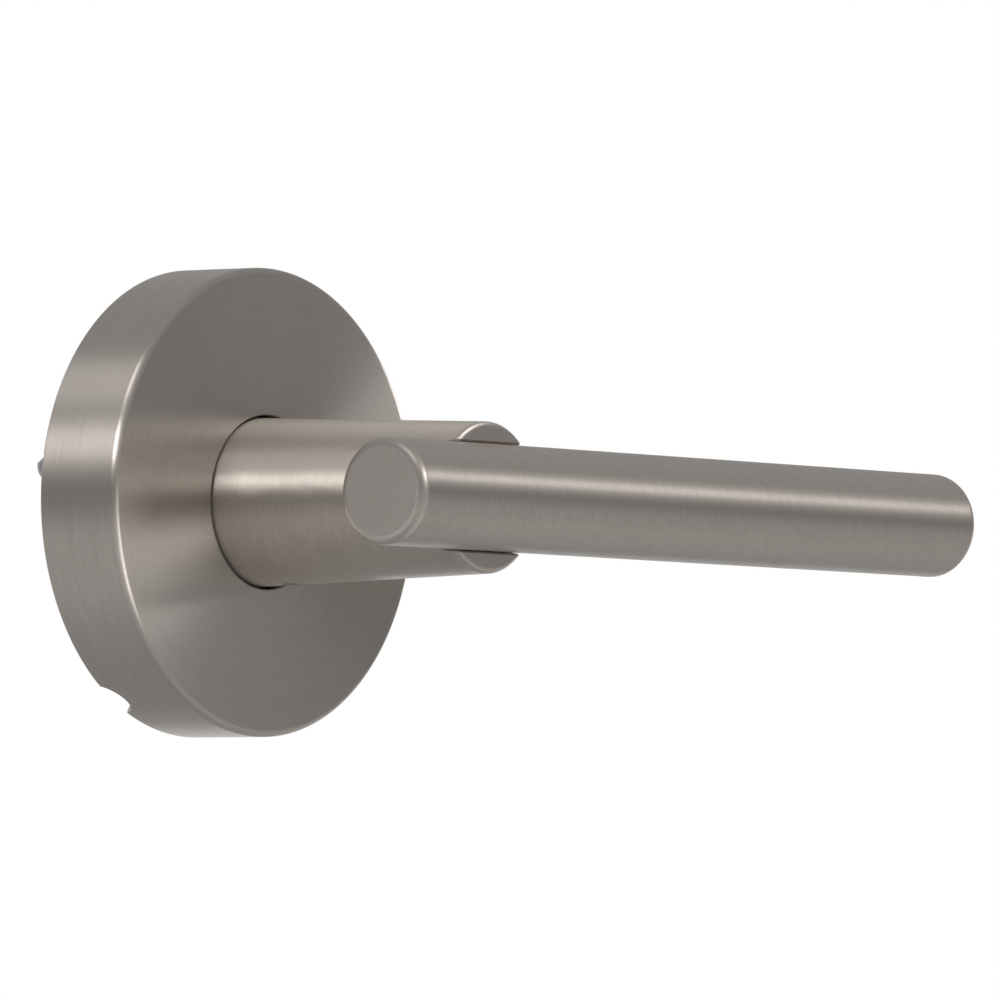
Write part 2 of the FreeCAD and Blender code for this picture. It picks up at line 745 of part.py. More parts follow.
def rear_stack():
    thrust = ring("thrust_washer", "rear_journal + saddle_gap", "thrust_radius", "thrust_sheet")
    seat(thrust, f"-({THRUST_FRONT} + thrust_sheet)")
    inner = f"({CLIP_SEAT} + seat_gap)"
    clip = ring("retaining_ring", inner, f"{inner} + clip_width", "clip_sheet", "360 - clip_gap_angle")
    added(clip, "clip_lugs", lambda s: draw_clip_ends(s, inner, "clip_lug"), "0", "clip_sheet")
    cut(clip, "clip_eyes", "XY_Plane", lambda s: draw_clip_ends(s, inner, "clip_lug_hole"), "clip_sheet")
    seat(clip, f"-({CLIP_FRONT} + clip_sheet)", "90 + clip_gap_angle / 2")


def draw_clip_ends(sketch, inner, radius):
    """A circle at each end of the open ring, clear of the shank."""
    reach = f"({inner} + clip_lug + 2 * seat_gap)"
    for angle in ("clip_lug", "(360 - clip_gap_angle - clip_lug)"):
        draw_circle(sketch, f"{reach} * cos({angle})", f"{reach} * sin({angle})", radius)


def lever_bar():
    length = "(bar_short + bar_long - 2 * cap_head)"
    start = "(cap_head - bar_short)"
    body = ring("lever_bar", BAR_BORE, "bar_radius", length)

    def draw_hole(sketch):
        draw_circle(sketch, "0", f"-{start}", "screw_hole")

    cut(body, "bar_hole", "XZ_Plane", draw_hole, "bar_radius", forward=False)
    seat_on_bar(body, start)


def bar_slug():
    """A threaded plug inside the bar, over the neck, for the bar screw."""
    bore = f"({BAR_BORE} - seat_gap)"
    corners = [("0", "0"), (bore, "0"), (bore, "slug_length"), ("0", "slug_length")]
    body = turned("bar_slug", corners)

    def draw_tapping(sketch):
        draw_circle(sketch, "0", "slug_length / 2", "screw_radius + thread_gap")

    cut(body, "rear_tapping", "XZ_Plane", draw_tapping, bore, forward=False)
    cut(body, "front_tapping", "XZ_Plane", draw_tapping, f"{bore} - slug_floor")
    seat_on_bar(body, "-slug_length / 2")


def end_cap(label, start, towards):
    """A plug with a full-width rounded head, dressed flush with the bar."""
    height = "cap_spigot + cap_head"
    body = stepped_pin(label, f"{BAR_BORE} - seat_gap", "cap_spigot", "bar_radius", height)
    dress(body, "Fillet", label + "_round", rims(body.Tip.Shape, "bar_radius", height), "cap_round")
    seat_on_bar(body, start, towards)


def bar_screw():
    """The screw that draws the bar into its saddle from inside the neck, and its split washer."""
    height = "screw_head_height + screw_length"
    body = stepped_pin("bar_screw", "screw_head_radius", "screw_head_height", "screw_radius", height)
    cut(body, "screw_key", "XY_Plane", lambda s: draw_polygon(s, 6, "screw_key_across"), "screw_key_depth")
    seat(body, f"{SCREW_SEAT} - lock_washer_sheet - screw_head_height")
    sweep = "360 - lock_washer_split"
    washer = ring("lock_washer", "screw_hole", "screw_head_radius", "lock_washer_sheet", sweep)
    seat(washer, f"{SCREW_SEAT} - lock_washer_sheet")


def spindle():
    body = document.addObject("PartDesign::Body", "spindle")
    length = "spindle_reach + spindle_grip"
    added(body, "spindle_bar", lambda s: draw_polygon(s, 4, "spindle_side"), "0", length)
    ends = straight_edges(body.Tip.Shape, "0") + straight_edges(body.Tip.Shape, length)
    dress(body, "Chamfer", "spindle_ends", ends, "spindle_chamfer")
    seat(body, "-spindle_reach")


def grub_screw():
    """The screw under the neck that bears on the spindle."""
    corners = [("0", "0"), ("grub_radius", "0"), ("grub_radius", "grub_length"), ("0", "grub_length")]
    body = turned("grub_screw", corners)
    sketch = new_sketch(body, "grub_key_sketch", "XY_Plane")
    sketch.setExpression("AttachmentOffset.Base.z", sized("grub_length"))
    draw_polygon(sketch, 6, "grub_key_across")
    feature = body.newObject("PartDesign::Pocket", "grub_key")
    feature.Profile = sketch
    feature.setExpression("Length", sized("grub_key_depth"))
    document.recompute()
    base = f"vector(0; -{sized('grub_level')}; -({sized('spindle_side / 2 + seat_gap')}))"
    body.setExpression("Placement", f"placement({base}; rotation(vector(1; 0; 0); 180))")
    pieces.append(body)


# ---- build, check and write --------------------------------------------------------------------


def check_model():
    """Stop if any object failed or any piece is empty or broken."""
    for item in document.Objects:
        if "Invalid" in item.State or "Error" in item.State:
            raise RuntimeError(f"{item.Label} is {item.State}")
    for piece in pieces:
        if piece.Shape.isNull() or not piece.Shape.isValid() or not piece.Shape.Solids:
            raise RuntimeError(f"{piece.Label} has no sound shape")


def build():
    fill_sheet()
    rose_cover()
    mounting_plate()
    snap_ring()
    stop_pins()
    spring_cage()
    cage_screws()
    bushings()
    return_spring()
    lever_neck()
    cam_plate()
    disc_spring()
    rear_stack()
    lever_bar()
    bar_slug()
    end_cap("near_cap", "cap_spigot + cap_head - bar_short", -1)
    end_cap("far_cap", "bar_long - cap_head - cap_spigot", 1)
    bar_screw()
    spindle()
    grub_screw()
    document.recompute()
    check_model()
    os.makedirs("parts", exist_ok=True)
    for piece in pieces:
        piece.Shape.exportStep(f"parts/{piece.Label}.step")
        box = piece.Shape.BoundBox
        spans = ((box.XMin, box.XMax), (box.YMin, box.YMax), (box.ZMin, box.ZMax))
        extent = ", ".join(f"{low:.2f}..{high:.2f}" for low, high in spans)
        print(f"{piece.Label}: {len(piece.Shape.Solids)} solids, {piece.Shape.Volume:.1f} mm3, {extent}")


build()
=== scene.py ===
"""Looks of a passage lever on a round rose: satin nickel outside, cast and turned works behind.

Lengths are in metres.  The origin is the centre of the rose's back plane on the turning axis, the
door lies at y > 0, the lever stands out along -Y, the bar points along +X and +Z is up.
"""

from __future__ import annotations

import json
import logging
import math
from collections.abc import Callable
from dataclasses import dataclass
from enum import Enum

import bmesh
import bpy
from mathutils import Matrix, Vector

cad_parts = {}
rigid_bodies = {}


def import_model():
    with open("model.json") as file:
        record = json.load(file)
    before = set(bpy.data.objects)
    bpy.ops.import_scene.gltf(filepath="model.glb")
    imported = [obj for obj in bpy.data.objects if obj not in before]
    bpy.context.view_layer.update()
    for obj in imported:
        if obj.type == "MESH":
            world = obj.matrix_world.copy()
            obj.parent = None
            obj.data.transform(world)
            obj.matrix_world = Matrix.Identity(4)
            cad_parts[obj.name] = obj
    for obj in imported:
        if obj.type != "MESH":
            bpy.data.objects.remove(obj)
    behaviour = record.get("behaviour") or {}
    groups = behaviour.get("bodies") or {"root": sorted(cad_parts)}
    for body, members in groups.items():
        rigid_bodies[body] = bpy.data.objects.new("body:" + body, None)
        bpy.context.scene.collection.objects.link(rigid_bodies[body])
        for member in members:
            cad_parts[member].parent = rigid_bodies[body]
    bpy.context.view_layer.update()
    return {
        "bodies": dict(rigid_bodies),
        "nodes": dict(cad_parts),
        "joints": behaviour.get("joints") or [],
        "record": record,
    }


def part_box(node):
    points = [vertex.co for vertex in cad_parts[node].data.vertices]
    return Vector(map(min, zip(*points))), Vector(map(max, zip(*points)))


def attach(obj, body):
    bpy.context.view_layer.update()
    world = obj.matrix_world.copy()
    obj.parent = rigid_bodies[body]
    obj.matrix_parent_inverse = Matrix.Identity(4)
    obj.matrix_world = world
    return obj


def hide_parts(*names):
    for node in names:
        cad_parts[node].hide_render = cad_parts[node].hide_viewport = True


LOG = logging.getLogger("lever_handle")
BAR_LEVEL = 0.0537  # how far the bar's axis stands off the door
SEAM = 1e-7  # points nearer than this are one point of a turned shape
TOUCH = 1e-6  # points nearer than this are one point of a copied or bevelled shape
SLIVER = 2e-6  # edges shorter than this are left by a cut and taken out again
NEAR = 2e-5  # how near a point lies to a cut's own surface
SKEW = 0.02  # how far a face's normal may stray from a direction and still face it
SHARP = math.radians(28.0)  # edges that turn more than this are kept sharp or broken
FLAT = math.radians(0.2)  # faces that turn less than this are one flat face

Colour = tuple[float, float, float]
Triple = tuple[float, float, float]
Band = tuple[float, float]
Stop = tuple[float, Colour]
Socket = bpy.types.NodeSocket


# ---- node trees --------------------------------------------------------------------------------


class Recipe:
    """A material's node tree, put together a node at a time."""

    def __init__(self, name: str) -> None:
        """Start a material with one Principled shader.

        Args:
            name: the material's name.
        """
        self.material = bpy.data.materials.new(name)
        self.material.use_nodes = True
        self.tree = self.material.node_tree
        self.shader = self.tree.nodes["Principled BSDF"]
        self.place = self.tree.nodes.new("ShaderNodeTexCoord").outputs["Object"]

    def node(self, kind: str, **settings: object) -> bpy.types.Node:
        """Add a node.

        Args:
            kind: the node's Blender type name.
            settings: attributes to set on it.

        Returns:
            The new node.
        """
        node = self.tree.nodes.new(kind)
        for name, setting in settings.items():
            setattr(node, name, setting)
        return node

    def feed(self, socket: Socket, source: object) -> None:
        """Link a socket to a source, or set it to a plain value.

        Args:
            socket: the input to fill.
            source: an output socket, a number or a tuple.
        """
        if isinstance(source, bpy.types.NodeSocket):
            self.tree.links.new(source, socket)
        else:
            socket.default_value = source

    def sum(self, operation: str, *terms: object) -> Socket:
        """One Math node over sockets or numbers.

        Args:
            operation: the node's operation.
            terms: its inputs in order.

        Returns:
            The result.
        """
        node = self.node("ShaderNodeMath", operation=operation)
        for socket, term in zip(node.inputs, terms):
            self.feed(socket, term)
        return node.outputs[0]

    def arrow(self, operation: str, *terms: object, result: str = "Vector") -> Socket:
        """One Vector Math node over sockets or tuples.

        Args:
            operation: the node's operation.
            terms: its inputs in order.
            result: which output to hand back.

        Returns:
            The result.
        """
        node = self.node("ShaderNodeVectorMath", operation=operation)
        for socket, term in zip(node.inputs, terms):
            self.feed(socket, term)
        return node.outputs[result]

    def packed(self, *values: object) -> Socket:
        """A vector from three sockets or numbers.

        Args:
            values: its x, y and z.

        Returns:
            The vector.
        """
        node = self.node("ShaderNodeCombineXYZ")
        for socket, term in zip(node.inputs, values):
            self.feed(socket, term)
        return node.outputs[0]

    def noise(self, vector: Socket, scale: float, detail: float = 2.0, rough: float = 0.5) -> Socket:
        """Fractal noise.

        Args:
            vector: where to sample it.
            scale: how fine it is, per unit of the vector.
            detail: how many octaves it has.
            rough: how strong the finer octaves are.

        Returns:
            A value about 0.5.
        """
        node = self.node("ShaderNodeTexNoise")
        self.feed(node.inputs["Vector"], vector)
        node.inputs["Scale"].default_value = scale
        node.inputs["Detail"].default_value = detail
        node.inputs["Roughness"].default_value = rough
        return node.outputs[0]

    def spread(self, factor: Socket, low: float, high: float, start: float, end: float) -> Socket:
        """Map a value from start..end to low..high, held at both ends.

        Args:
            factor: the value.
            low: the result at start.
            high: the result at end.
            start: the value's lower limit.
            end: the value's upper limit.

        Returns:
            The mapped value.
        """
        node = self.node("ShaderNodeMapRange")
        for socket, term in zip(node.inputs, (factor, start, end, low, high)):
            self.feed(socket, term)
        return node.outputs[0]

    def shade(self, factor: Socket, *stops: Stop) -> Socket:
        """A colour ramp.

        Args:
            factor: where to read it.
            stops: each stop's place and colour.

        Returns:
            The colour.
        """
        node = self.node("ShaderNodeValToRGB")
        self.feed(node.inputs[0], factor)
        ramp = node.color_ramp
        while len(ramp.elements) < len(stops):
            ramp.elements.new(0.5)
        for element, (place, colour) in zip(ramp.elements, stops):
            element.position = place
            element.color = (*colour, 1.0)
        return node.outputs[0]

    def mixed(self, factor: Socket, first: Socket, second: Colour) -> Socket:
        """Lay one colour over another.

        Args:
            factor: how much of the second.
            first: the base colour.
            second: the colour laid over it.

        Returns:
            The mixed colour.
        """
        node = self.node("ShaderNodeMix", data_type="RGBA")
        colours = [socket for socket in node.inputs if socket.type == "RGBA"]
        self.feed(node.inputs[0], factor)
        for socket, term in zip(colours, (first, (*second, 1.0))):
            self.feed(socket, term)
        return next(socket for socket in node.outputs if socket.type == "RGBA")

    def bump(self, height: Socket, depth: float, strength: float) -> None:
        """Raise the surface's shading by a height, over what was raised before.

        Args:
            height: the value to raise by.
            depth: the height of a value of one, in metres.
            strength: how much of the tilt to use.
        """
        node = self.node("ShaderNodeBump")
        node.inputs["Strength"].default_value = strength
        node.inputs["Distance"].default_value = depth
        self.feed(node.inputs["Height"], height)
        normal = self.shader.inputs["Normal"]
        if normal.is_linked:
            self.feed(node.inputs["Normal"], normal.links[0].from_socket)
        self.feed(normal, node.outputs[0])

    def surface(self, **inputs: object) -> None:
        """Fill the shader's inputs.

        Args:
            inputs: what each takes, under its name in lower case with underscores.
        """
        for name, source in inputs.items():
            socket = self.shader.inputs[name.replace("_", " ").title().replace("Ior", "IOR")]
            if isinstance(source, tuple):
                source = (*source, 1.0)
            self.feed(socket, source)


# ---- finishes ----------------------------------------------------------------------------------


class Axis(Enum):
    """The axis that a piece was turned and brushed about."""

    TURNING = "turning"
    BAR = "bar"


@dataclass(frozen=True)
class Finish:
    """A surface finish, known by its name."""

    name: str

    def material(self) -> bpy.types.Material:
        """The finish as a material, which each kind of finish makes in its own way."""
        raise NotImplementedError(self.name)


@dataclass(frozen=True)
class SatinNickel(Finish):
    """Brushed nickel plate under a thin lacquer, its grooves running round an axis."""

    axis: Axis
    shine: Colour = (0.675, 0.615, 0.565)
    dull: Colour = (0.60, 0.545, 0.50)
    roughness: float = 0.47
    roughness_play: float = 0.05
    stretch: float = 0.8
    groove: float = 0.00028
    groove_depth: float = 2.5e-6
    arc: float = 5.0
    slant: float = 0.73
    broad_groove: float = 5
    broad_arc: float = 0.4
    haze_scale: float = 70.0
    fine_share: float = 0.6
    broad_share: float = 0.25
    haze_share: float = 0.15
    lacquer: float = 0.35
    lacquer_roughness: float = 0.22

    def material(self) -> bpy.types.Material:
        """The finish as a material.

        Returns:
            The material.
        """
        recipe = Recipe(self.name)
        radius, along, around, groove_way = self.round_axis(recipe)
        cut = recipe.sum("ADD", radius, recipe.sum("MULTIPLY", along, self.slant))
        fine = self.lines(recipe, cut, around, self.groove, self.arc)
        broad = self.lines(recipe, cut, around, self.groove * self.broad_groove, self.arc * self.broad_arc)
        haze = recipe.noise(recipe.place, self.haze_scale, 3.0, 0.55)
        fine_tone = recipe.sum("MULTIPLY", fine, self.fine_share)
        broad_tone = recipe.sum("MULTIPLY", broad, self.broad_share)
        haze_tone = recipe.sum("MULTIPLY", haze, self.haze_share)
        tone = recipe.sum("ADD", recipe.sum("ADD", fine_tone, broad_tone), haze_tone)
        colour = recipe.shade(tone, (0.36, self.dull), (0.64, self.shine))
        roughest, smoothest = self.roughness + self.roughness_play, self.roughness - self.roughness_play
        recipe.bump(fine, self.groove_depth, 0.5)
        recipe.surface(
            base_color=colour, metallic=1.0, roughness=recipe.spread(tone, roughest, smoothest, 0.35, 0.65),
            anisotropic=self.stretch, anisotropic_rotation=0.25,
            coat_weight=self.lacquer, coat_roughness=self.lacquer_roughness,
        )
        recipe.feed(recipe.shader.inputs["Tangent"], groove_way)
        return recipe.material

    def round_axis(self, recipe: Recipe) -> tuple[Socket, Socket, Socket, Socket]:
        """The surface's place about the axis.

        Args:
            recipe: the tree to build in.

        Returns:
            The radius, the distance along the axis, the unit vector out from the axis, and the
            way that the grooves run, in the world.
        """
        if self.axis is Axis.TURNING:
            flat, axis = (1.0, 0.0, 1.0), (0.0, 1.0, 0.0)
            place = recipe.place
        else:
            flat, axis = (0.0, 1.0, 1.0), (1.0, 0.0, 0.0)
            place = recipe.arrow("ADD", recipe.place, (0.0, BAR_LEVEL, 0.0))
        out = recipe.arrow("MULTIPLY", place, flat)
        radius = recipe.arrow("LENGTH", out, result="Value")
        along = recipe.arrow("DOT_PRODUCT", place, axis, result="Value")
        turn = recipe.node(
            "ShaderNodeVectorTransform", vector_type="VECTOR", convert_from="OBJECT", convert_to="WORLD"
        )
        recipe.feed(turn.inputs[0], recipe.arrow("CROSS_PRODUCT", axis, out))
        return radius, along, recipe.arrow("NORMALIZE", out), recipe.arrow("NORMALIZE", turn.outputs[0])

    @staticmethod
    def lines(recipe: Recipe, cut: Socket, around: Socket, width: float, arc: float) -> Socket:
        """Fine lines round the axis.

        Args:
            recipe: the tree to build in.
            cut: the distance across the grooves.
            around: the unit vector out from the axis.
            width: the spacing of the grooves.
            arc: how often a groove changes in a turn.

        Returns:
            A value about 0.5.
        """
        bent = recipe.arrow("SCALE", around)
        bent.node.inputs["Scale"].default_value = arc
        across = recipe.sum("MULTIPLY", cut, 1.0 / width)
        shift = recipe.packed(across, across, across)
        return recipe.noise(recipe.arrow("ADD", bent, shift), 1.0, 3.0, 0.6)


@dataclass(frozen=True)
class DieCastZinc(Finish):
    """Raw zinc casting: a dull grey skin with flow marks and a fine grain."""

    name: str = "zinc_casting"
    light: Colour = (0.56, 0.57, 0.585)
    dark: Colour = (0.34, 0.345, 0.36)
    smoothest: float = 0.36
    roughest: float = 0.52
    grain_depth: float = 1.6e-5
    flow_depth: float = 6.0e-5

    def material(self) -> bpy.types.Material:
        """The finish as a material.

        Returns:
            The material.
        """
        recipe = Recipe(self.name)
        flow = recipe.noise(recipe.arrow("MULTIPLY", recipe.place, (1.0, 1.0, 0.35)), 160.0, 5.0, 0.6)
        grain = recipe.noise(recipe.place, 2600.0, 4.0, 0.65)
        stain = recipe.noise(recipe.place, 55.0, 3.0, 0.5)
        tone = recipe.sum("ADD", recipe.sum("MULTIPLY", flow, 0.5), recipe.sum("MULTIPLY", stain, 0.5))
        colour = recipe.shade(tone, (0.36, self.dark), (0.62, self.light))
        colour = recipe.mixed(recipe.spread(grain, 0.0, 0.3, 0.55, 0.75), colour, self.light)
        rough = recipe.spread(tone, self.roughest, self.smoothest, 0.35, 0.65)
        recipe.bump(grain, self.grain_depth, 0.5)
        recipe.bump(flow, self.flow_depth, 0.35)
        recipe.surface(base_color=colour, metallic=0.92, roughness=rough)
        return recipe.material


@dataclass(frozen=True)
class PressedSteel(Finish):
    """Sheet or turned steel under a thin coat, with rolling lines and a soft tint."""

    light: Colour
    dark: Colour
    tint: Colour
    roughness: float = 0.3
    grain: Triple = (1.0, 1.0, 1.0)
    line_depth: float = 4.0e-6
    speck_depth: float = 3.0e-6

    def material(self) -> bpy.types.Material:
        """The finish as a material.

        Returns:
            The material.
        """
        recipe = Recipe(self.name)
        lines = recipe.noise(recipe.arrow("MULTIPLY", recipe.place, self.grain), 2200.0, 3.0, 0.6)
        cloud = recipe.noise(recipe.place, 190.0, 3.0, 0.55)
        specks = recipe.noise(recipe.place, 4200.0, 2.0, 0.5)
        colour = recipe.shade(lines, (0.35, self.dark), (0.65, self.light))
        colour = recipe.mixed(recipe.spread(cloud, 0.0, 0.45, 0.45, 0.65), colour, self.tint)
        rough = recipe.sum("ADD", recipe.spread(cloud, -0.06, 0.06, 0.4, 0.6), self.roughness)
        rough = recipe.sum("ADD", rough, recipe.spread(specks, 0.0, 0.1, 0.6, 0.75))
        recipe.bump(lines, self.line_depth, 0.4)
        recipe.bump(specks, self.speck_depth, 0.3)
        recipe.surface(base_color=colour, metallic=1.0, roughness=rough)
        return recipe.material


@dataclass(frozen=True)
class NaturalAcetal(Finish):
    """Moulded bearing plastic: milky, with faint flow marks."""

    name: str = "natural_acetal"
    pale: Colour = (0.80, 0.785, 0.735)
    deep: Colour = (0.70, 0.68, 0.62)
    skin_depth: float = 5.0e-6

    def material(self) -> bpy.types.Material:
        """The finish as a material.

        Returns:
            The material.
        """
        recipe = Recipe(self.name)
        flow = recipe.noise(recipe.place, 240.0, 4.0, 0.55)
        skin = recipe.noise(recipe.place, 5200.0, 2.0, 0.5)
        recipe.bump(skin, self.skin_depth, 0.35)
        recipe.surface(
            base_color=recipe.shade(flow, (0.38, self.deep), (0.6, self.pale)),
            roughness=recipe.spread(skin, 0.36, 0.5, 0.4, 0.6),
            specular_ior_level=0.5,
        )
        return recipe.material


ROSE_NICKEL = SatinNickel("satin_nickel_rose", Axis.TURNING, roughness=0.36, stretch=0.9)
# A darker copy of the rose's satin nickel for the cup's front face: painted shade, the plating and brushing
# being the same as the rim's.
SHADED_FACE_NICKEL = SatinNickel(
    "satin_nickel_face", Axis.TURNING, (0.63, 0.58, 0.535), (0.555, 0.51, 0.47),
    roughness=0.36, stretch=0.9,
)
NECK_NICKEL = SatinNickel(
    "satin_nickel_neck", Axis.TURNING, (0.69, 0.62, 0.56), (0.61, 0.55, 0.495),
    roughness=0.46, stretch=0.88,
)
BAR_NICKEL = SatinNickel("satin_nickel_bar", Axis.BAR, roughness=0.51, stretch=0.86)
# The turned ends' own unbrushed, finer finish, in a lighter copy of the nickel: partly a real finish,
# partly a painted highlight.
LIT_END_NICKEL = SatinNickel(
    "satin_nickel_end", Axis.BAR, (0.70, 0.63, 0.58), (0.64, 0.575, 0.53),
    roughness=0.40, stretch=0.0, groove=0.00018,
)
CAST_ZINC = DieCastZinc()
ZINC_PLATE = PressedSteel("zinc_plated_steel", (0.66, 0.67, 0.68), (0.52, 0.53, 0.55), (0.62, 0.65, 0.60))
SPINDLE_STEEL = PressedSteel(
    "drawn_spindle_steel", (0.60, 0.60, 0.60), (0.42, 0.42, 0.43), (0.50, 0.48, 0.45),
    roughness=0.34, grain=(1.0, 0.04, 1.0),
)
SPRING_STEEL = PressedSteel(
    "oiled_spring_steel", (0.30, 0.30, 0.31), (0.17, 0.17, 0.18), (0.22, 0.20, 0.18), roughness=0.36,
)
BLACK_STEEL = PressedSteel(
    "blackened_steel", (0.07, 0.07, 0.075), (0.03, 0.03, 0.033), (0.09, 0.075, 0.06), roughness=0.42,
)
ACETAL = NaturalAcetal()


# ---- placing a finish --------------------------------------------------------------------------


def dress(piece: bpy.types.Object, material: bpy.types.Material) -> None:
    """Give a piece one material in all its slots.

    Args:
        piece: the piece.
        material: the finish.
    """
    slots = piece.data.materials
    slots.clear()
    slots.append(material)


# ---- turning and cutting -----------------------------------------------------------------------


@dataclass(frozen=True)
class Corner:
    """A corner of a turned outline that is worked to a round."""

    radius: float
    along: float
    size: float
    steps: int = 6


@dataclass(frozen=True)
class Lathe:
    """Turns an outline about the lever's turning axis or the bar's."""

    axis: Axis
    steps: int = 240

    def spot(self, radius: float, along: float) -> Vector:
        """A place on the outline's plane.

        Args:
            radius: its distance from the axis.
            along: its distance along the axis.

        Returns:
            The place.
        """
        if self.axis is Axis.TURNING:
            return Vector((radius, along, 0.0))
        return Vector((along, -BAR_LEVEL, radius))

    def reading(self, place: Vector) -> tuple[float, float]:
        """Where a place is about the axis.

        Args:
            place: the place.

        Returns:
            Its radius and its distance along the axis.
        """
        if self.axis is Axis.TURNING:
            return math.hypot(place.x, place.z), place.y
        return math.hypot(place.y + BAR_LEVEL, place.z), place.x

    def turn(
        self, outline: list[tuple[float, float]], corners: tuple[Corner, ...], ring: bool = False
    ) -> bmesh.types.BMesh:
        """Turn an outline into a closed shape.

        Args:
            outline: the radius and the distance along the axis of each corner, in order.
            corners: the corners that are rounded.
            ring: whether the last corner joins the first, clear of the axis.

        Returns:
            The shape.
        """
        shape = bmesh.new()
        points = [shape.verts.new(self.spot(*corner)) for corner in outline]
        for first, second in zip(points, points[1:] + points[:1] if ring else points[1:]):
            shape.edges.new((first, second))
        axis = (0.0, 1.0, 0.0) if self.axis is Axis.TURNING else (1.0, 0.0, 0.0)
        bmesh.ops.spin(
            shape, geom=shape.verts[:] + shape.edges[:], cent=self.spot(0.0, 0.0), axis=axis,
            angle=math.tau, steps=self.steps, use_merge=True,
        )
        bmesh.ops.remove_doubles(shape, verts=shape.verts, dist=SEAM)
        bmesh.ops.recalc_face_normals(shape, faces=shape.faces)
        for corner in corners:
            rim = [edge for edge in shape.edges if all(self.meets(point, corner) for point in edge.verts)]
            bmesh.ops.bevel(
                shape, geom=rim, offset=corner.size, offset_type="OFFSET", segments=corner.steps,
                profile=0.5, affect="EDGES", material=-1,
            )
        return shape

    def meets(self, point: bmesh.types.BMVert, corner: Corner) -> bool:
        """Whether a point lies on a corner's circle."""
        radius, along = self.reading(point.co)
        return abs(radius - corner.radius) < TOUCH and abs(along - corner.along) < TOUCH


def rod(radius: float, length: float, middle: Vector, way: Vector, sides: int = 96) -> bmesh.types.BMesh:
    """A round bar to cut with.

    Args:
        radius: its radius.
        length: its length.
        middle: its middle.
        way: the way it points.
        sides: how many flat sides stand for its round.

    Returns:
        The shape.
    """
    shape = bmesh.new()
    place = Matrix.Translation(middle) @ way.to_track_quat("Z", "Y").to_matrix().to_4x4()
    bmesh.ops.create_cone(
        shape, cap_ends=True, segments=sides, radius1=radius, radius2=radius, depth=length, matrix=place,
    )
    return shape


def as_object(shape: bmesh.types.BMesh, name: str) -> bpy.types.Object:
    """Turn a finished shape into an object at the origin.

    Args:
        shape: the shape, which is freed.
        name: the object's name.

    Returns:
        The object, linked to the scene.
    """
    mesh = bpy.data.meshes.new(name)
    shape.to_mesh(mesh)
    shape.free()
    piece = bpy.data.objects.new(name, mesh)
    bpy.context.scene.collection.objects.link(piece)
    return piece


def cut_from(shape: bmesh.types.BMesh, tools: list[bmesh.types.BMesh]) -> bmesh.types.BMesh:
    """Cut shapes out of a shape.

    Args:
        shape: the shape that is cut, which is freed.
        tools: the shapes that cut it, which are freed.

    Returns:
        The shape that is left, without the slivers that cutting makes.
    """
    piece = as_object(shape, "work")
    cutters = [as_object(tool, "tool") for tool in tools]
    for cutter in cutters:
        step = piece.modifiers.new("cut", "BOOLEAN")
        step.operation = "DIFFERENCE"
        step.solver = "EXACT"
        step.object = cutter
    bpy.context.view_layer.update()
    mesh = bpy.data.meshes.new_from_object(piece.evaluated_get(bpy.context.evaluated_depsgraph_get()))
    result = bmesh.new()
    result.from_mesh(mesh)
    bpy.data.meshes.remove(mesh)
    for used in (piece, *cutters):
        bpy.data.meshes.remove(used.data)
    bmesh.ops.remove_doubles(result, verts=result.verts, dist=SLIVER)
    bmesh.ops.dissolve_degenerate(result, edges=result.edges, dist=SLIVER)
    bmesh.ops.triangulate(result, faces=[face for face in result.faces if len(face.verts) > 4])
    bmesh.ops.dissolve_degenerate(result, edges=result.edges, dist=SLIVER)
    bmesh.ops.holes_fill(result, edges=[edge for edge in result.edges if edge.is_boundary])
    return result


def is_sharp(edge: bmesh.types.BMEdge) -> bool:
    """Whether an edge joins two faces at a sharp angle."""
    return edge.is_manifold and edge.calc_face_angle() > SHARP


def soften(shape: bmesh.types.BMesh, size: float, chosen: Callable[[Vector], bool], steps: int = 2) -> None:
    """Break the sharp edges whose ends all lie in a chosen place.

    Args:
        shape: the shape.
        size: how far each edge is broken.
        chosen: says whether a place counts.
        steps: how many faces the round has.
    """
    within = [edge for edge in shape.edges if all(chosen(point.co) for point in edge.verts)]
    sharp = [edge for edge in within if is_sharp(edge)]
    bmesh.ops.bevel(
        shape, geom=sharp, offset=size, offset_type="OFFSET", segments=steps, profile=0.5,
        affect="EDGES", material=-1, clamp_overlap=True,
    )


def copy_of(node: str, whole_faces: bool = True) -> bmesh.types.BMesh:
    """A node's own form as one joined shape.

    Args:
        node: the node.
        whole_faces: whether its triangles are joined into whole flat faces.

    Returns:
        The shape.
    """
    shape = bmesh.new()
    shape.from_mesh(bpy.data.objects[node].data)
    bmesh.ops.remove_doubles(shape, verts=shape.verts, dist=TOUCH)
    if whole_faces:
        bmesh.ops.dissolve_limit(shape, angle_limit=FLAT, verts=shape.verts, edges=shape.edges)
    shape.normal_update()
    return shape


def finish_piece(
    shape: bmesh.types.BMesh, name: str, body: str, node: str, slot: str, *materials: bpy.types.Material,
    broken: float = 0.0,
) -> None:
    """Make a shape the piece that stands for a node.

    Args:
        shape: the shape, which is freed.
        name: the piece's name.
        body: the body it rides on.
        node: the node it stands for.
        slot: the record's material slot for the node; not used.
        materials: its materials, in the order of its faces' numbers.
        broken: how far its sharp edges are broken.
    """
    for face in shape.faces:
        face.smooth = True
    for edge in shape.edges:
        edge.smooth = not is_sharp(edge)
    piece = as_object(shape, name)
    for material in materials:
        piece.data.materials.append(material)
    if broken:
        bevel = piece.modifiers.new("broken_edges", "BEVEL")
        bevel.width = broken
        bevel.segments = 2
        bevel.limit_method = "ANGLE"
        bevel.angle_limit = SHARP
        weld = piece.modifiers.new("closed_slivers", "WELD")
        weld.merge_threshold = TOUCH
    even = piece.modifiers.new("even", "WEIGHTED_NORMAL")
    even.keep_sharp = True
    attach(piece, body)
    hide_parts(node)
    LOG.info("%s: made for %s, %d faces", name, node, len(piece.data.polygons))


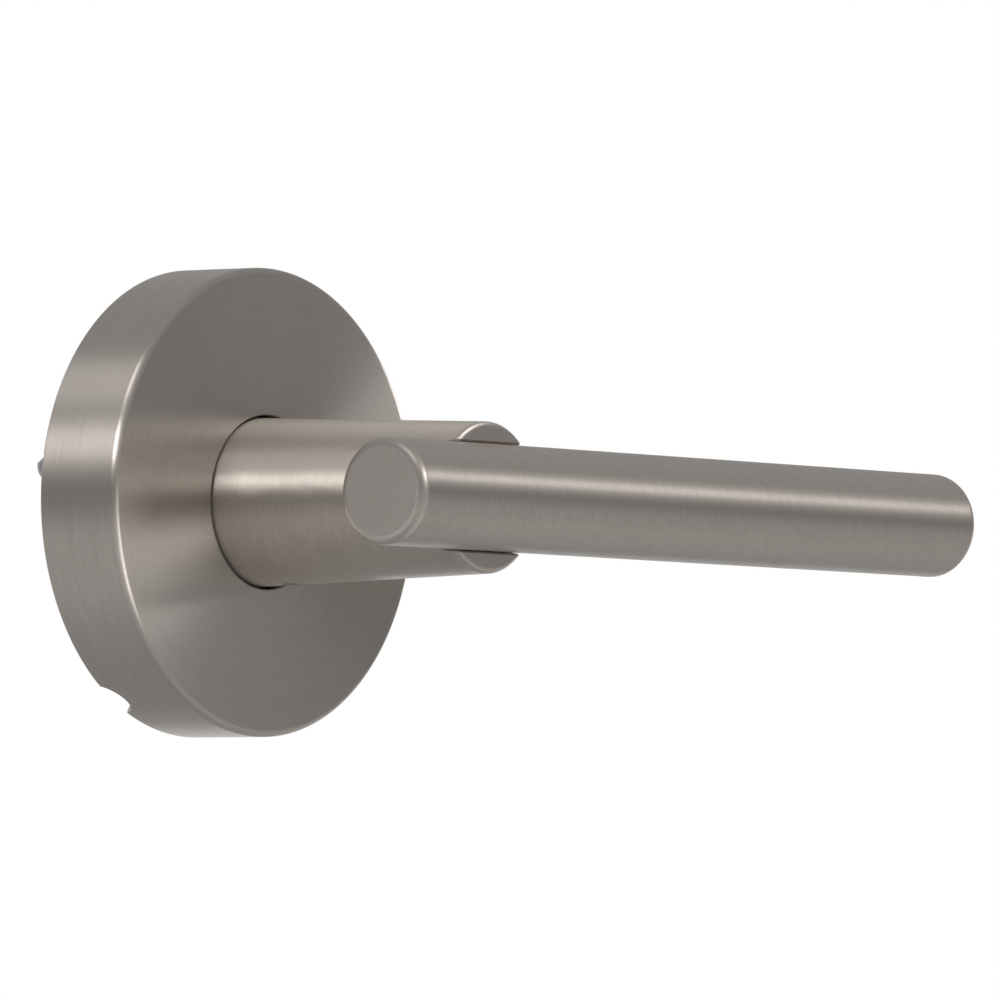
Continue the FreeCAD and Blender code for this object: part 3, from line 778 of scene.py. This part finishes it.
class Wardrobe:
    """Makes each finish once and hands out its material."""

    def __init__(self) -> None:
        """Start with nothing made."""
        self.made: dict[str, bpy.types.Material] = {}

    def material(self, finish: Finish) -> bpy.types.Material:
        """The material of a finish, made the first time it is asked for.

        Args:
            finish: the finish.

        Returns:
            Its material.
        """
        if finish.name not in self.made:
            self.made[finish.name] = finish.material()
        return self.made[finish.name]


# ---- screws ------------------------------------------------------------------------------------


@dataclass(frozen=True)
class Thread:
    """A right-hand thread, from its free end towards the screw's head."""

    foot: Vector
    way: Vector
    radius: float
    length: float
    pitch: float
    steps: int = 40
    depth_part: float = 0.6
    over_part: float = 0.12
    half_angle: float = math.radians(30.0)

    def cutter(self) -> bmesh.types.BMesh:
        """The helical groove, as a shape to cut with.

        Returns:
            The shape, which starts one turn before the screw's free end.
        """
        shape = bmesh.new()
        over = self.over_part * self.pitch
        depth = self.depth_part * self.pitch
        half = (over + depth) * math.tan(self.half_angle)
        outer, inner = self.radius + over, self.radius - depth
        section = ((outer, 0.0, -half), (outer, 0.0, half), (inner, 0.0, 0.0))
        points = [shape.verts.new(place) for place in section]
        edges = [shape.edges.new(pair) for pair in zip(points, points[1:] + points[:1])]
        turns = math.ceil(self.length / self.pitch) + 1
        bmesh.ops.spin(
            shape, geom=points + edges, cent=(0.0, 0.0, 0.0), axis=(0.0, 0.0, 1.0),
            dvec=(0.0, 0.0, self.pitch / self.steps), angle=math.tau * turns, steps=turns * self.steps,
        )
        bmesh.ops.remove_doubles(shape, verts=shape.verts, dist=SEAM)
        bmesh.ops.holes_fill(shape, edges=[edge for edge in shape.edges if edge.is_boundary])
        bmesh.ops.recalc_face_normals(shape, faces=shape.faces)
        start = self.foot - self.way * self.pitch
        turn = self.way.to_track_quat("Z", "Y").to_matrix().to_4x4()
        bmesh.ops.transform(shape, matrix=Matrix.Translation(start) @ turn, verts=shape.verts)
        return shape


@dataclass(frozen=True)
class Screw:
    """Screws of one kind, whose threads run the way given, from the free end to the head."""

    node: str
    name: str
    finish: Finish
    towards_head: Triple
    radius: float
    length: float
    pitch: float

    def build(self, body: str, slot: str, material: bpy.types.Material) -> None:
        """Cut the thread of each screw in its node's place.

        Args:
            body: the body it rides on.
            slot: the material slot it takes.
            material: its finish as a material.
        """
        shape = copy_of(self.node)
        way = Vector(self.towards_head)
        threads = [Thread(foot, way, self.radius, self.length, self.pitch) for foot in self.feet(shape)]
        shape = cut_from(shape, [thread.cutter() for thread in threads])
        finish_piece(shape, self.name, body, self.node, slot, material)

    def feet(self, shape: bmesh.types.BMesh) -> list[Vector]:
        """The middle of each screw's free end.

        Args:
            shape: all the screws.

        Returns:
            One place for each screw, in a fixed order.
        """
        way = Vector(self.towards_head)
        left = set(shape.verts)
        found = []
        while left:
            screw = set()
            waiting = [next(iter(left))]
            while waiting:
                point = waiting.pop()
                if point not in screw:
                    screw.add(point)
                    waiting.extend(edge.other_vert(point) for edge in point.link_edges)
            left -= screw
            places = [point.co for point in screw]
            low = Vector([min(place[axis] for place in places) for axis in range(3)])
            high = Vector([max(place[axis] for place in places) for axis in range(3)])
            found.append((low + high) / 2 - way * abs((high - low).dot(way)) / 2)
        return sorted(found, key=tuple)


# ---- sub-assemblies ----------------------------------------------------------------------------


@dataclass(frozen=True)
class Blank:
    """A pressing, casting, moulding or turned piece whose sharp edges are broken."""

    node: str
    name: str
    finish: Finish
    edge: float


@dataclass
class Assembly:
    """The pieces on one body: those that keep their shape, the blanks and the screws."""

    frame: dict
    wardrobe: Wardrobe
    body: str
    kept: tuple[tuple[str, Finish], ...]
    blanks: tuple[Blank, ...]
    screws: tuple[Screw, ...]

    def dress_nodes(self) -> None:
        """Dress each piece that keeps its own shape."""
        for node, finish in self.kept:
            dress(self.frame["nodes"][node], self.wardrobe.material(finish))
            LOG.info("%s: %s", node, finish.name)

    def slot(self, node: str) -> str:
        """The material slot that the record gives a node."""
        subparts = self.frame["record"]["subparts"]
        return next(part["material_slot"] for part in subparts if part["node"] == node)

    def break_edges(self) -> None:
        """Make each blank's piece again with its sharp edges broken."""
        for blank in self.blanks:
            finish_piece(
                copy_of(blank.node), blank.name, self.body, blank.node, self.slot(blank.node),
                self.wardrobe.material(blank.finish), broken=blank.edge,
            )

    def cut_threads(self) -> None:
        """Make each screw again with its thread."""
        for screw in self.screws:
            screw.build(self.body, self.slot(screw.node), self.wardrobe.material(screw.finish))

    def build(self) -> None:
        """Make the pieces that every assembly has."""
        self.dress_nodes()
        self.break_edges()
        self.cut_threads()


@dataclass(frozen=True)
class EndCap:
    """A turned plug in the bar's end, with a full-width rounded head."""

    node: str
    head: float = 0.003
    edge: float = 0.0013
    plug_chamfer: float = 0.0004

    def build(self, wardrobe: Wardrobe) -> None:
        """Turn the cap in its node's place.

        Args:
            wardrobe: where its finishes come from.
        """
        low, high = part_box(self.node)
        radius = (high.z - low.z) / 2
        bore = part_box("bar_slug")[1].z
        outward = 1 if low.x > 0 else -1
        end, root = (high.x, low.x) if outward > 0 else (low.x, high.x)
        shoulder = end - outward * self.head
        outline = [
            (0.0, root), (bore, root), (bore, shoulder), (radius, shoulder), (radius, end), (0.0, end),
        ]
        rounds = (Corner(radius, end, self.edge, 10), Corner(bore, root, self.plug_chamfer, 2))
        shape = Lathe(Axis.BAR).turn(outline, rounds)
        # The end face and its round take the lighter end nickel: a real unbrushed finish whose extra
        # lightness is a painted highlight.
        for face in shape.faces:
            face.material_index = int(abs(face.normal.x) > SKEW)
        finish_piece(
            shape, f"{self.node}_head", "lever", self.node, "satin_nickel_cap",
            wardrobe.material(BAR_NICKEL), wardrobe.material(LIT_END_NICKEL),
        )


@dataclass(frozen=True)
class RoseCover:
    """The drawn cup over the works, with a prying notch in its rear edge."""

    radius: float = 0.033
    height: float = 0.0137
    wall: float = 0.0012
    bore: float = 0.01225
    edge: float = 0.001
    small_edge: float = 0.0003
    ring_low: float = 0.0043
    ring_high: float = 0.0057
    ring_bite: float = 0.0003
    notch_angle: float = math.radians(239.0)
    notch_radius: float = 0.0037
    notch_depth: float = 0.0026
    notch_edge: float = 0.00012
    cutter_walls: float = 6
    turning_steps: int = 360

    def build(self, wardrobe: Wardrobe) -> None:
        """Turn the cup and cut its notch.

        Args:
            wardrobe: where its finish comes from.
        """
        inner, ceiling = self.radius - self.wall, self.wall - self.height
        groove = inner + self.ring_bite
        outline = [
            (inner, 0.0), (self.radius, 0.0), (self.radius, -self.height), (self.bore, -self.height),
            (self.bore, ceiling), (inner, ceiling), (inner, -self.ring_high), (groove, -self.ring_high),
            (groove, -self.ring_low), (inner, -self.ring_low),
        ]
        rounds = (
            Corner(self.radius, -self.height, self.edge, 10),
            Corner(self.radius, 0.0, self.small_edge, 4),
            Corner(self.bore, -self.height, self.small_edge, 5),
        )
        shape = Lathe(Axis.TURNING, self.turning_steps).turn(outline, rounds, ring=True)
        out = Vector((math.cos(self.notch_angle), 0.0, math.sin(self.notch_angle)))
        drop = Vector((0.0, self.notch_radius - self.notch_depth, 0.0))
        middle = out * (self.radius - self.wall / 2) + drop
        shape = cut_from(shape, [rod(self.notch_radius, self.wall * self.cutter_walls, middle, out)])
        soften(
            shape, self.notch_edge,
            lambda place: abs((place - middle).cross(out).length - self.notch_radius) < NEAR,
        )
        # Faces looking out along -Y take the darker copy of the nickel, painted shade on the cup's front
        # face.
        for face in shape.faces:
            face.material_index = int(face.normal.y < SKEW - 1.0)
        finish_piece(
            shape, "rose_cup", "rose", "rose_cover", "satin_nickel_rose",
            wardrobe.material(ROSE_NICKEL), wardrobe.material(SHADED_FACE_NICKEL),
        )


@dataclass(frozen=True)
class Neck:
    """The cast neck, its shank through the rose and the saddle that holds the bar."""

    height: float = 0.0538
    tip_round: float = 0.0008

    def build(self, wardrobe: Wardrobe) -> None:
        """Give the casting its brushed side and its plain end, the end in a lighter copy of the nickel as a
        painted highlight.

        Args:
            wardrobe: where its finishes come from.
        """
        shape = copy_of("lever_neck", whole_faces=False)
        # The tip's faces take the lighter end nickel: a real unbrushed finish whose extra lightness is a
        # painted highlight.
        for face in shape.faces:
            face.material_index = int(face.calc_center_median().y < self.tip_round - self.height)
        finish_piece(
            shape, "cast_neck", "lever", "lever_neck", "satin_nickel_neck",
            wardrobe.material(NECK_NICKEL), wardrobe.material(LIT_END_NICKEL),
        )


@dataclass
class Rose(Assembly):
    """The drawn cover, the casting under it and the spring works between them."""

    body: str = "rose"
    kept: tuple[tuple[str, Finish], ...] = (
        ("snap_ring", SPRING_STEEL),
        ("return_spring", SPRING_STEEL),
    )
    blanks: tuple[Blank, ...] = (
        Blank("mounting_plate", "plate_casting", CAST_ZINC, edge=0.00018),
        Blank("stop_pins", "hardened_pins", SPRING_STEEL, edge=0.00025),
        Blank("spring_cage", "cage_pressing", ZINC_PLATE, edge=0.00012),
        Blank("front_bushing", "front_bush", ACETAL, edge=0.00012),
        Blank("rear_bushing", "rear_bush", ACETAL, edge=0.00015),
    )
    screws: tuple[Screw, ...] = (
        Screw(
            "cage_screws", "threaded_cage_screws", ZINC_PLATE, (0.0, -1.0, 0.0),
            radius=0.00145, length=0.0032, pitch=0.0005,
        ),
    )
    cover: RoseCover = RoseCover()

    def build(self) -> None:
        """Make the works, then the cover over them."""
        super().build()
        self.cover.build(self.wardrobe)


@dataclass
class Lever(Assembly):
    """The neck, the bar with its caps, and all that turns with them."""

    body: str = "lever"
    kept: tuple[tuple[str, Finish], ...] = (
        ("lever_bar", BAR_NICKEL),
        ("disc_spring", SPRING_STEEL),
    )
    blanks: tuple[Blank, ...] = (
        Blank("bar_slug", "threaded_slug", ZINC_PLATE, edge=0.0001),
        Blank("lock_washer", "split_washer", BLACK_STEEL, edge=0.0001),
        Blank("cam_plate", "cam_pressing", ZINC_PLATE, edge=0.00012),
        Blank("thrust_washer", "rear_washer", ZINC_PLATE, edge=0.00008),
        Blank("retaining_ring", "circlip", SPRING_STEEL, edge=0.00012),
        Blank("spindle", "drawn_spindle", SPINDLE_STEEL, edge=0.0002),
    )
    screws: tuple[Screw, ...] = (
        Screw(
            "bar_screw", "threaded_bar_screw", BLACK_STEEL, (0.0, 1.0, 0.0),
            radius=0.00245, length=0.0125, pitch=0.0008,
        ),
        Screw(
            "grub_screw", "threaded_grub_screw", BLACK_STEEL, (0.0, 0.0, -1.0),
            radius=0.00195, length=0.006, pitch=0.0007,
        ),
    )
    neck: Neck = Neck()
    caps: tuple[EndCap, ...] = (EndCap("near_cap"), EndCap("far_cap"))

    def build(self) -> None:
        """Make all that turns with the neck, then the neck and the bar's two caps."""
        super().build()
        self.neck.build(self.wardrobe)
        for cap in self.caps:
            cap.build(self.wardrobe)


# ---- studio ------------------------------------------------------------------------------------


ROSE_SIDE = ("rose_cup", "plate_casting")
ROSE_FACE = ("rose_cup",)
NECK_SIDE = ("cast_neck",)
BAR_SIDE = ("lever_bar", "near_cap_head", "far_cap_head")
WORKS = (
    "plate_casting", "snap_ring", "cage_pressing", "threaded_cage_screws", "hardened_pins", "front_bush",
    "rear_bush", "return_spring", "cam_pressing", "disc_spring", "rear_washer", "circlip", "drawn_spindle",
    "threaded_grub_screw",
)


@dataclass(frozen=True)
class Softbox:
    """A rectangular lamp that faces the object and lights only some pieces."""

    name: str
    lights: tuple[str, ...]
    towards: Triple
    width: float
    height: float
    power: float
    distance: float = 1.4

    def hang(self, middle: Vector) -> None:
        """Put the lamp in the scene.

        Args:
            middle: the point that it faces.
        """
        lamp = bpy.data.lights.new(self.name, "AREA")
        lamp.shape = "RECTANGLE"
        lamp.size = self.width
        lamp.size_y = self.height
        lamp.energy = self.power
        stand = bpy.data.objects.new(self.name, lamp)
        out = Vector(self.towards).normalized()
        stand.location = middle + out * self.distance
        stand.rotation_mode = "QUATERNION"
        stand.rotation_quaternion = out.to_track_quat("Z", "Y")
        stand.visible_camera = False
        bpy.context.scene.collection.objects.link(stand)
        stand.light_linking.receiver_collection = self.lit_pieces()

    def lit_pieces(self) -> bpy.types.Collection:
        """The pieces that the lamp lights.

        Returns:
            A collection that holds them.
        """
        lit = bpy.data.collections.new(f"{self.name}_pieces")
        for name in self.lights:
            lit.objects.link(bpy.data.objects[name])
        return lit


@dataclass(frozen=True)
class Studio:
    """A pale floor, soft lamps and the camera."""

    azimuth: float = -51.2721
    elevation: float = -2.3824
    roll: float = 0.6801
    distance: float = 1.6928
    target: Triple = (0.042251, -0.021686, 0.001873)
    lens: float = 426.416
    sensor: float = 36.0
    nearest: float = 0.05
    farthest: float = 50.0
    floor_level: float = -0.4
    floor_radius: float = 3.0
    floor_pale: Colour = (0.84, 0.84, 0.84)
    floor_deep: Colour = (0.80, 0.80, 0.80)
    floor_glow: float = 0.5
    lamp_aim: Triple = (0.03, -0.03, 0.0)
    lamps: tuple[Softbox, ...] = (
        Softbox("left_lamp", ROSE_SIDE, (-0.90, -0.05, 0.395), 0.5, 0.34, power=4.9),
        Softbox("rose_veil", ROSE_SIDE, (-0.62, 0.02, 0.77), 0.9, 0.5, power=2.4),
        Softbox("side_lamp", ROSE_FACE, (0.98, -0.17, 0.145), 0.30, 0.16, power=1.4),
        Softbox("low_lamp", ROSE_FACE, (0.104, -0.98, -0.145), 0.38, 0.50, power=3.0),
        Softbox("neck_lamp", NECK_SIDE, (-0.90, 0.02, 0.395), 0.62, 0.34, power=5.2),
        Softbox("neck_top_lamp", NECK_SIDE, (0.30, -0.45, 0.84), 0.8, 0.7, power=4.2),
        Softbox("left_veil", NECK_SIDE, (-0.62, -0.15, 0.77), 0.9, 0.7, power=2.6),
        Softbox("bar_lamp", BAR_SIDE, (0.08, -0.87, 0.470), 1.1, 0.12, power=3.9),
        Softbox("bar_veil", BAR_SIDE, (-0.62, -0.15, 0.77), 0.7, 0.5, power=1.1),
        Softbox("bar_low_lamp", BAR_SIDE, (0.1, -0.45, -0.89), 0.35, 0.32, power=0.075, distance=0.36),
        Softbox("end_lamp", BAR_SIDE, (-0.92, 0.34, -0.10), 0.9, 0.9, power=0.6),
        Softbox("works_lamp", WORKS, (0.3, 0.8, 0.55), 0.8, 0.8, power=14.0),
    )
    sky: tuple[Band, ...] = (
        (0.0, 0.28), (0.13, 0.34), (0.20, 0.43), (0.40, 0.45), (0.47, 0.27), (0.53, 0.20), (0.62, 0.27),
        (1.0, 0.36),
    )
    backdrop: tuple[Band, ...] = (
        (0.0, 0.28), (0.25, 0.30), (0.33, 1.0), (0.51, 1.0), (0.58, 0.40), (1.0, 0.36),
    )
    backdrop_way: Triple = (0.6, 0.8, 0.0)
    backdrop_fades: Band = (0.50, 0.80)

    def build(self) -> None:
        """Set up everything round the object."""
        self.place_camera()
        self.light_sky()
        self.lay_floor()
        for lamp in self.lamps:
            lamp.hang(Vector(self.lamp_aim))

    def place_camera(self) -> None:
        """Stand the camera at its own angle and make it the scene's."""
        camera = bpy.data.cameras.new("camera")
        camera.lens = self.lens
        camera.sensor_width = self.sensor
        camera.clip_start = self.nearest
        camera.clip_end = self.farthest
        holder = bpy.data.objects.new("camera", camera)
        turn, tilt = math.radians(self.azimuth), math.radians(self.elevation)
        back = Vector((math.sin(turn) * math.cos(tilt), -math.cos(turn) * math.cos(tilt), math.sin(tilt)))
        holder.location = Vector(self.target) + back * self.distance
        upright = back.to_track_quat("Z", "Y").to_matrix()
        lean = Matrix.Rotation(math.radians(self.roll), 3, "Z")
        holder.rotation_mode = "QUATERNION"
        holder.rotation_quaternion = (upright @ lean).to_quaternion()
        bpy.context.scene.collection.objects.link(holder)
        bpy.context.scene.camera = holder

    def light_sky(self) -> None:
        """A white backdrop to look at, and a softer sky that lights the metal."""
        scene = bpy.context.scene
        scene.view_settings.view_transform = "Standard"
        scene.world = bpy.data.worlds.new("studio_sky")
        scene.world.use_nodes = True
        tree = scene.world.node_tree
        way = tree.nodes.new("ShaderNodeTexCoord").outputs["Generated"]
        far = tree.nodes.new("ShaderNodeVectorMath")
        far.operation = "DOT_PRODUCT"
        far.inputs[1].default_value = self.backdrop_way
        tree.links.new(way, far.inputs[0])
        facing = tree.nodes.new("ShaderNodeMapRange")
        facing.interpolation_type = "SMOOTHSTEP"
        facing.inputs["From Min"].default_value = self.backdrop_fades[0]
        facing.inputs["From Max"].default_value = self.backdrop_fades[1]
        tree.links.new(far.outputs["Value"], facing.inputs[0])
        whole = tree.nodes.new("ShaderNodeMix")
        whole.data_type = "RGBA"
        tree.links.new(facing.outputs[0], whole.inputs[0])
        tree.links.new(self.bands(tree, way, self.sky), whole.inputs[6])
        tree.links.new(self.bands(tree, way, self.backdrop), whole.inputs[7])
        lit = tree.nodes["Background"]
        tree.links.new(whole.outputs[2], lit.inputs[0])
        seen = tree.nodes.new("ShaderNodeBackground")
        seen.inputs[0].default_value = (1.0, 1.0, 1.0, 1.0)
        rays = tree.nodes.new("ShaderNodeLightPath")
        both = tree.nodes.new("ShaderNodeMixShader")
        tree.links.new(rays.outputs["Is Camera Ray"], both.inputs[0])
        tree.links.new(lit.outputs[0], both.inputs[1])
        tree.links.new(seen.outputs[0], both.inputs[2])
        tree.links.new(both.outputs[0], tree.nodes["World Output"].inputs[0])

    @staticmethod
    def bands(tree: bpy.types.NodeTree, way: Socket, stops: tuple[Band, ...]) -> Socket:
        """Grey bands by height.

        Args:
            tree: the sky's node tree.
            way: the direction looked in.
            stops: each band's height, from 0 straight down to 1 straight up, and its brightness.

        Returns:
            The colour.
        """
        split = tree.nodes.new("ShaderNodeSeparateXYZ")
        tree.links.new(way, split.inputs[0])
        height = tree.nodes.new("ShaderNodeMapRange")
        height.inputs["From Min"].default_value = -1.0
        tree.links.new(split.outputs[2], height.inputs[0])
        ramp = tree.nodes.new("ShaderNodeValToRGB")
        tree.links.new(height.outputs[0], ramp.inputs[0])
        elements = ramp.color_ramp.elements
        while len(elements) < len(stops):
            elements.new(0.5)
        for element, (place, level) in zip(elements, stops):
            element.position = place
            element.color = (level, level, level, 1.0)
        return ramp.outputs[0]

    def lay_floor(self) -> None:
        """A plain pale floor below the object."""
        shape = bmesh.new()
        bmesh.ops.create_circle(shape, cap_ends=True, segments=96, radius=self.floor_radius)
        bmesh.ops.translate(shape, verts=shape.verts, vec=(0.0, 0.0, self.floor_level))
        mesh = bpy.data.meshes.new("floor")
        shape.to_mesh(mesh)
        shape.free()
        floor = bpy.data.objects.new("floor", mesh)
        bpy.context.scene.collection.objects.link(floor)
        recipe = Recipe("pale_floor")
        grain = recipe.noise(recipe.place, 12.0, 3.0)
        recipe.surface(
            base_color=recipe.shade(grain, (0.3, self.floor_deep), (0.7, self.floor_pale)), roughness=0.6,
            emission_color=(1.0, 1.0, 1.0), emission_strength=self.floor_glow,
        )
        dress(floor, recipe.material)
        floor.visible_glossy = False


# ---- main --------------------------------------------------------------------------------------


def corners(bounds: tuple[Vector, Vector]) -> list[list[float]]:
    """A box's two corners as plain lists."""
    return [[float(value) for value in corner] for corner in bounds]


def main() -> None:
    """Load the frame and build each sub-assembly round it."""
    logging.basicConfig(level=logging.INFO, format="%(name)s: %(message)s")
    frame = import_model()
    wardrobe = Wardrobe()
    Rose(frame, wardrobe).build()
    Lever(frame, wardrobe).build()
    Studio().build()


if __name__ == "__main__":
    main()
